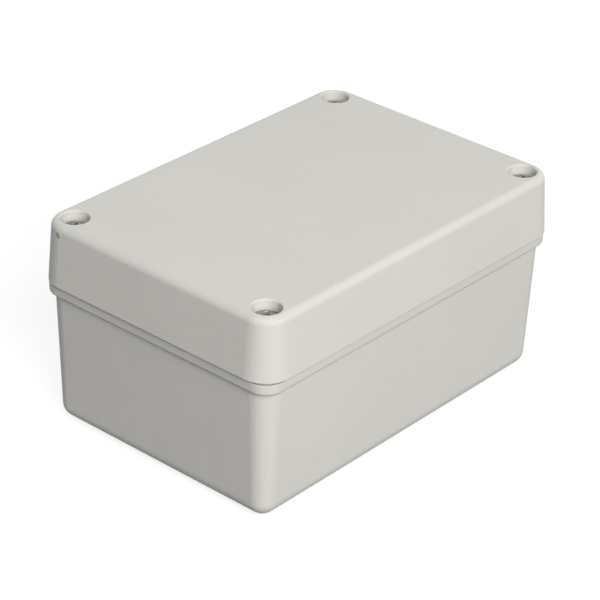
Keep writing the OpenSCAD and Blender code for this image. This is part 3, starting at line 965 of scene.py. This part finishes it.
def grey_tpe(look):
    """Material of the plugs."""
    # Moulded thermoplastic rubber: soft grey and dull, with a faint velvet edge.
    mat, tree, shader, place = shader_of("tpe_grey_moulded")
    cloud = add(tree, "ShaderNodeTexNoise", {
        "Vector": place, "Scale": 1 / (3 * MM), "Detail": 3.0, "Roughness": 0.55,
    })
    # The mould's fine matt etching is drawn at 0.2 mm to show.
    etch = add(tree, "ShaderNodeTexNoise", {
        "Vector": place, "Scale": 1 / (0.2 * MM), "Detail": 2.0, "Roughness": 0.5,
    })
    skin = toned(tree, cloud, (0.3, 0.7), shaded(look.plug, 0.9), shaded(look.plug, 1.08))
    gloss = add(tree, "ShaderNodeMapRange", {
        "Value": etch.outputs["Fac"], "From Min": 0.3, "From Max": 0.7, "To Min": 0.6, "To Max": 0.72,
    })
    relief = add(tree, "ShaderNodeBump", {
        "Height": etch.outputs["Fac"], "Strength": 0.3, "Distance": 0.03 * MM,
    })
    dress(tree, shader, skin, gloss, relief)
    shader.inputs["IOR"].default_value = 1.48
    shader.inputs["Sheen Weight"].default_value = 0.08
    return mat


def plug_outline(look):
    """Outline of a plug in radius and height, from the middle of its head round to its hollow."""
    _, _, low, high = middle_of("plug_1")
    rim, body = radius_of("plug_1"), look.plug_body / MM
    under, top, ledge = low / MM, high / MM, (high - look.plug_head) / MM
    # The head has a shallow dimple with a soft lip.
    dimple, fillet, lip = 1.5, 0.15, 0.2
    outline = [(0, top - 2 * fillet)] + arc(dimple, top - fillet, fillet, -90, 0, 3)
    outline += arc(dimple + fillet + lip, top - lip, lip, 180, 90, 4)
    # From there a faint crown falls to the rounded rim.
    swell, dip, rounding, sag, foot = 3.2, 0.02, 0.65, 0.05, 0.1
    outline += [(swell, top - dip)]
    outline += arc(rim - rounding, top - rounding - sag, rounding, 88, 0, 8)
    outline += arc(rim - foot, ledge + foot, foot, 0, -90, 3)
    # Two sealing ribs stand out from the body at these depths under the head.
    wall, rib, root = body - 0.3, 0.22, 0.35
    outline += [(wall, ledge)]
    for step in (0.65, 1.55):
        outline += [(wall, ledge - step + root)] + arc(body - rib, ledge - step, rib, 75, -75, 6)
        outline += [(wall, ledge - step - root)]
    # The body is hollow from below, with a chamfered mouth.
    hollow, mouth, soft = body - 1.2, 0.15, 0.3
    outline += [(wall - mouth, under), (hollow + mouth, under), (hollow, under + mouth)]
    return outline + arc(hollow - soft, ledge - soft, soft, 0, 90, 4) + [(0, ledge)]


class JBOX_OT_plugs(bpy.types.Operator):
    """Press the sealing plugs into the collars"""

    bl_idname = "jbox.plugs"
    bl_label = "Press Plugs"

    def execute(self, context):
        look = context.scene.junction_box.seals
        mat = grey_tpe(look)
        plugs = solid("sealing_plugs", turned(plug_outline(look), ROUND))
        near, far = middle_of("plug_1"), middle_of("plug_3")
        grown(plugs, plug_set(), {"Length": far[0] - near[0], "Width": far[1] - near[1], "Finish": mat})
        seat(plugs, "base", "plug_soft", *[f"plug_{n}" for n in CORNERS])
        return {"FINISHED"}


def set_camera(scene, look):
    """Camera that looks at the box from the photograph's place."""
    back = direction(look.azimuth, look.elevation)
    side = Vector((math.cos(look.azimuth), math.sin(look.azimuth), 0))
    up = back.cross(side)
    right = math.cos(look.roll) * side + math.sin(look.roll) * up
    top = math.cos(look.roll) * up - math.sin(look.roll) * side
    aim = Vector((0, 0, CAMERA_AIM)) + look.target[0] * right + look.target[1] * top
    camera = bpy.data.objects.new("camera", bpy.data.cameras.new("camera"))
    scene.collection.objects.link(camera)
    turn = Matrix((right, top, back)).transposed()
    camera.matrix_world = Matrix.Translation(aim + back * look.distance) @ turn.to_4x4()
    camera.data.sensor_width = 36
    camera.data.lens = look.lens
    camera.data.clip_start = 0.01
    camera.data.clip_end = 100
    scene.camera = camera
    scene.view_settings.view_transform = "Standard"


def set_room(scene, look):
    """Room that looks white and lights the box from all round."""
    world = bpy.data.worlds.new("studio")
    scene.world = world
    world.use_nodes = True
    tree = world.node_tree
    tree.nodes.clear()
    room = add(tree, "ShaderNodeBackground", {"Color": (1, 1, 1, 1), "Strength": look.sky})
    white = add(tree, "ShaderNodeBackground", {"Color": (1, 1, 1, 1), "Strength": 1.0})
    mix = add(tree, "ShaderNodeMixShader", {
        0: seen_white(tree), 1: room.outputs[0], 2: white.outputs[0],
    })
    add(tree, "ShaderNodeOutputWorld", {"Surface": mix.outputs[0]})


def set_lamps(scene, look):
    """Lamp in front of the box and one behind each far side."""
    for name in ("key", "end", "rear"):
        towards = direction(getattr(look, name + "_azimuth"), getattr(look, name + "_elevation"))
        light = bpy.data.lights.new(name, "AREA")
        light.size = getattr(look, name + "_size")
        light.energy = getattr(look, name + "_power")
        lamp = bpy.data.objects.new(name, light)
        lamp.location = Vector((0, 0, LAMP_AIM)) + towards * look.reach
        lamp.rotation_euler = towards.to_track_quat("Z", "Y").to_euler()
        scene.collection.objects.link(lamp)


def white_paper(look):
    """Material of the floor."""
    # White paper: it shows white with the box's shadow on it, and sends little light back up.
    mat = bpy.data.materials.new("paper_white_matt")
    mat.use_nodes = True
    tree = mat.node_tree
    tree.nodes.clear()
    dim = add(tree, "ShaderNodeBsdfDiffuse", {"Color": (look.bounce, look.bounce, look.bounce, 1)})
    paper = add(tree, "ShaderNodeBsdfDiffuse", {"Color": (look.shade, look.shade, look.shade, 1)})
    glow = add(tree, "ShaderNodeEmission", {"Color": (1, 1, 1, 1), "Strength": look.glow})
    both = add(tree, "ShaderNodeAddShader", {0: paper.outputs[0], 1: glow.outputs[0]})
    mix = add(tree, "ShaderNodeMixShader", {0: seen_white(tree), 1: dim.outputs[0], 2: both.outputs[0]})
    # From underneath it is clear.
    under = add(tree, "ShaderNodeNewGeometry").outputs["Backfacing"]
    clear = add(tree, "ShaderNodeBsdfTransparent")
    sheet = add(tree, "ShaderNodeMixShader", {0: under, 1: mix.outputs[0], 2: clear.outputs[0]})
    add(tree, "ShaderNodeOutputMaterial", {"Surface": sheet.outputs[0]})
    return mat


def lay_paper(scene, look):
    """Floor, open under the box's flat back so that the back can be seen from underneath."""
    mesh = bpy.data.meshes.new("floor")
    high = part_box("base")[1]
    x, y = high.x - look.margin, high.y - look.margin
    rings = [(a * look.paper, b * look.paper, 0) for a, b in SQUARE]
    rings += [(a * x, b * y, 0) for a, b in SQUARE]
    mesh.from_pydata(rings, [], [(0, 1, 5, 4), (1, 2, 6, 5), (2, 3, 7, 6), (3, 0, 4, 7)])
    mesh.materials.append(white_paper(look))
    floor = bpy.data.objects.new("floor", mesh)
    scene.collection.objects.link(floor)


class JBOX_OT_stage(bpy.types.Operator):
    """Set the camera, lamps and floor"""

    bl_idname = "jbox.stage"
    bl_label = "Set Stage"

    def execute(self, context):
        look = context.scene.junction_box.stage
        set_camera(context.scene, look)
        set_room(context.scene, look)
        set_lamps(context.scene, look)
        lay_paper(context.scene, look)
        return {"FINISHED"}


class JBOX_PT_panel(bpy.types.Panel):
    """Sizes and colours of the junction box"""

    bl_label = "Junction Box"
    bl_idname = "JBOX_PT_panel"
    bl_space_type = "VIEW_3D"
    bl_region_type = "UI"
    bl_category = "Junction Box"

    def draw(self, context):
        for look, steps in GROUPS.items():
            values = getattr(context.scene.junction_box, look)
            part = self.layout.box()
            for name in values.__annotations__:
                part.prop(values, name)
            for step in steps:
                part.operator(step.bl_idname)


GROUPS = {
    "housing": (JBOX_OT_housing,),
    "screws": (JBOX_OT_screws,),
    "seals": (JBOX_OT_seals, JBOX_OT_plugs),
    "inserts": (JBOX_OT_inserts,),
    "stage": (JBOX_OT_stage,),
}
CLASSES = (
    HousingLook, ScrewLook, SealLook, InsertLook, StageLook, JunctionBox,
    JBOX_OT_housing, JBOX_OT_screws, JBOX_OT_seals, JBOX_OT_inserts, JBOX_OT_plugs, JBOX_OT_stage,
    JBOX_PT_panel,
)


def register():
    for cls in CLASSES:
        bpy.utils.register_class(cls)
    bpy.types.Scene.junction_box = PointerProperty(type=JunctionBox)


def unregister():
    del bpy.types.Scene.junction_box
    for cls in reversed(CLASSES):
        bpy.utils.unregister_class(cls)


def main():
    register()
    bpy.ops.jbox.housing()
    bpy.ops.jbox.screws()
    bpy.ops.jbox.seals()
    bpy.ops.jbox.inserts()
    bpy.ops.jbox.plugs()
    bpy.ops.jbox.stage()


if __name__ == "__main__":
    main()
